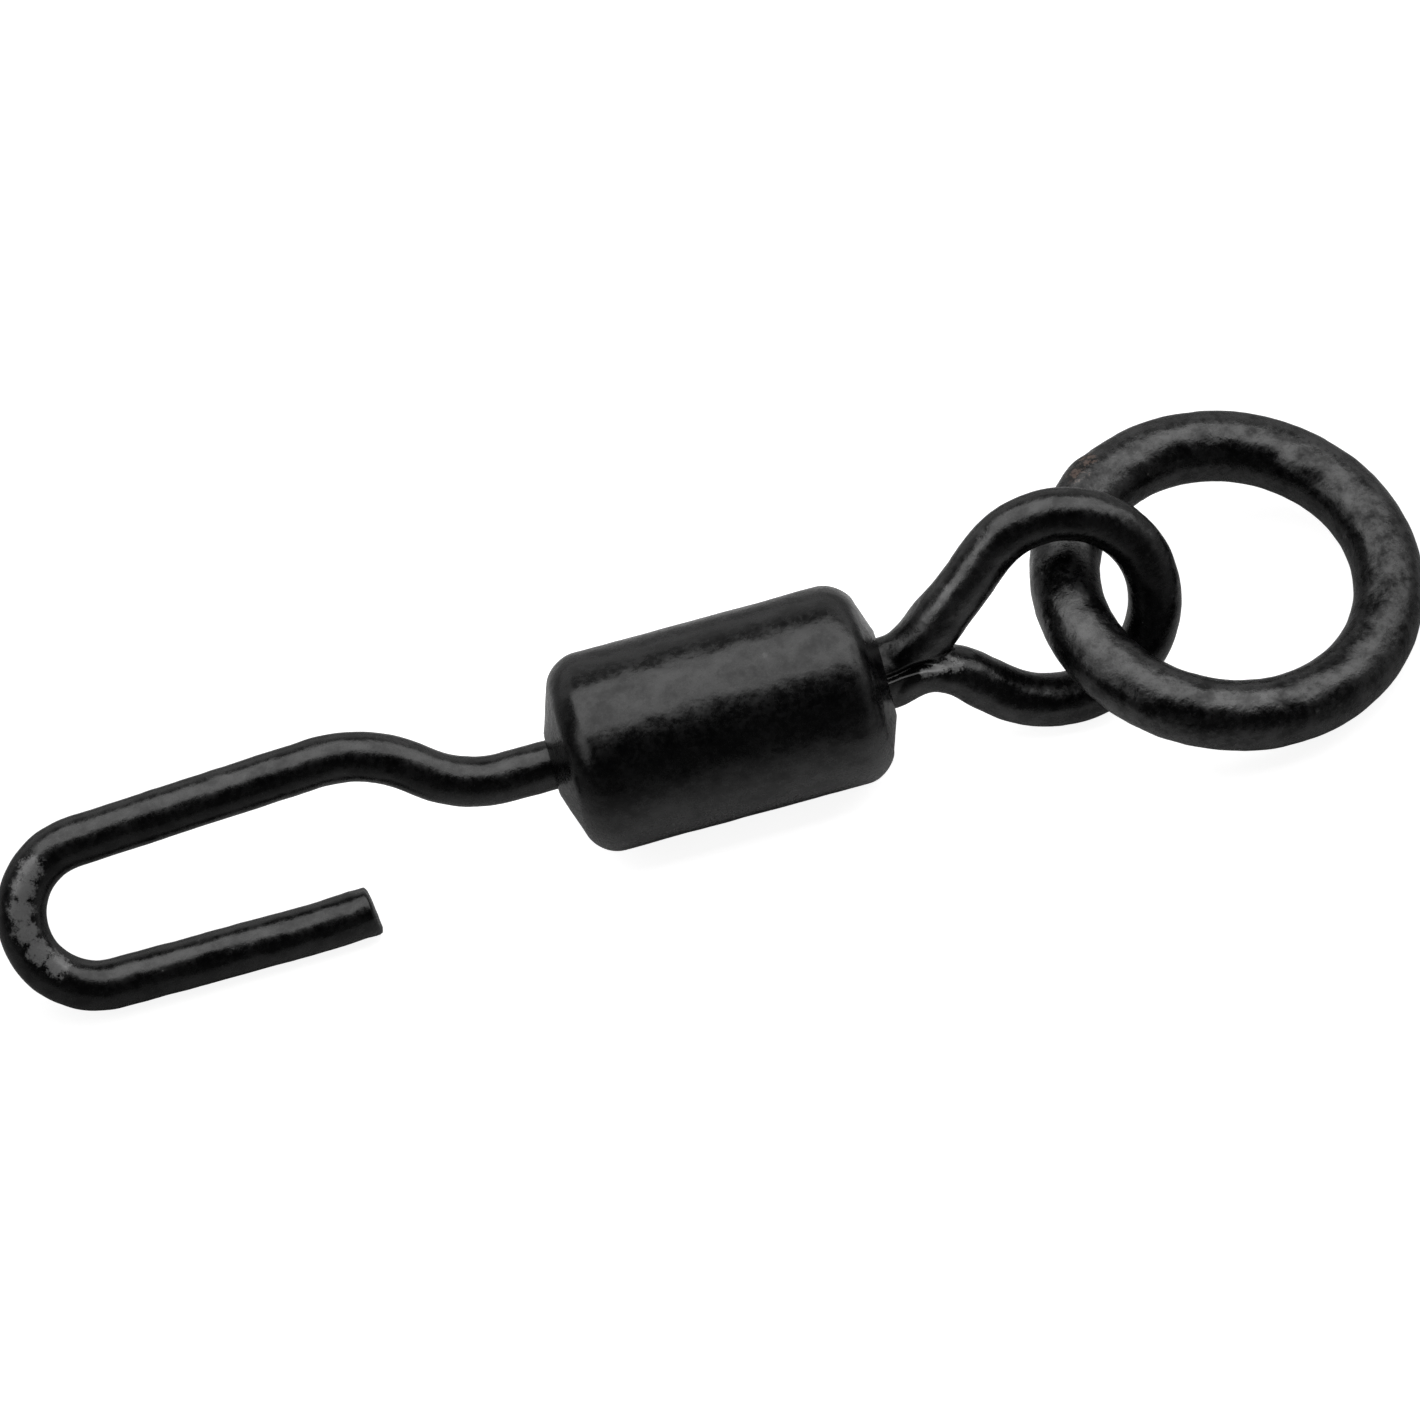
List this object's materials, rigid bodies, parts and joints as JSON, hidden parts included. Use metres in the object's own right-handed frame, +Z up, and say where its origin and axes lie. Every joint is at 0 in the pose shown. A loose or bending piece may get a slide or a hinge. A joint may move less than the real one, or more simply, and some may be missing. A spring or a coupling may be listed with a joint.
{
  "type": "ring swivel",
  "caption": "Small barrel swivel with an open wire hook at one end and a solid ring hanging in a wire eye at the other, all in a black coating.",
  "frame": {"origin": "on the table, under the middle of the swivel's bounding box as it lies at rest", "axes": "+X along the barrel's axis towards the ring, +Z up from the table, +Y away from the side that the open leg and the eye's lower side lean to"},
  "size_m": [0.018, 0.0048, 0.0029],
  "materials": {
    "barrel_coating": "semi-matte black coating, finely mottled",
    "hook_coating": "semi-matte black coating on wire, scuffed at the bend",
    "eye_coating": "semi-matte black coating on wire",
    "ring_coating": "semi-matte black coating with a small worn spot"
  },
  "bodies": {
    "barrel": {"barrel": "barrel_coating"},
    "hook": {"hook": "hook_coating"},
    "eye": {"eye": "eye_coating"},
    "ring": {"ring": "ring_coating"}
  },
  "joints": [
    {"name": "hook_spin", "type": "hinge", "parent": "barrel", "child": "hook", "pos_m": [-0.00195, -0.00022, 0.00125], "axis": [1, 0, 0], "continuous": true},
    {"name": "eye_spin", "type": "hinge", "parent": "barrel", "child": "eye", "pos_m": [0.00231, -0.00022, 0.00125], "axis": [1, 0, 0], "continuous": true},
    {"name": "ring_swing", "type": "hinge", "parent": "eye", "child": "ring", "pos_m": [0.00454, -0.00011, 0.00147], "axis": [0, -0.8914, 0.4532], "range_deg": [-110, 155]}
  ]
}
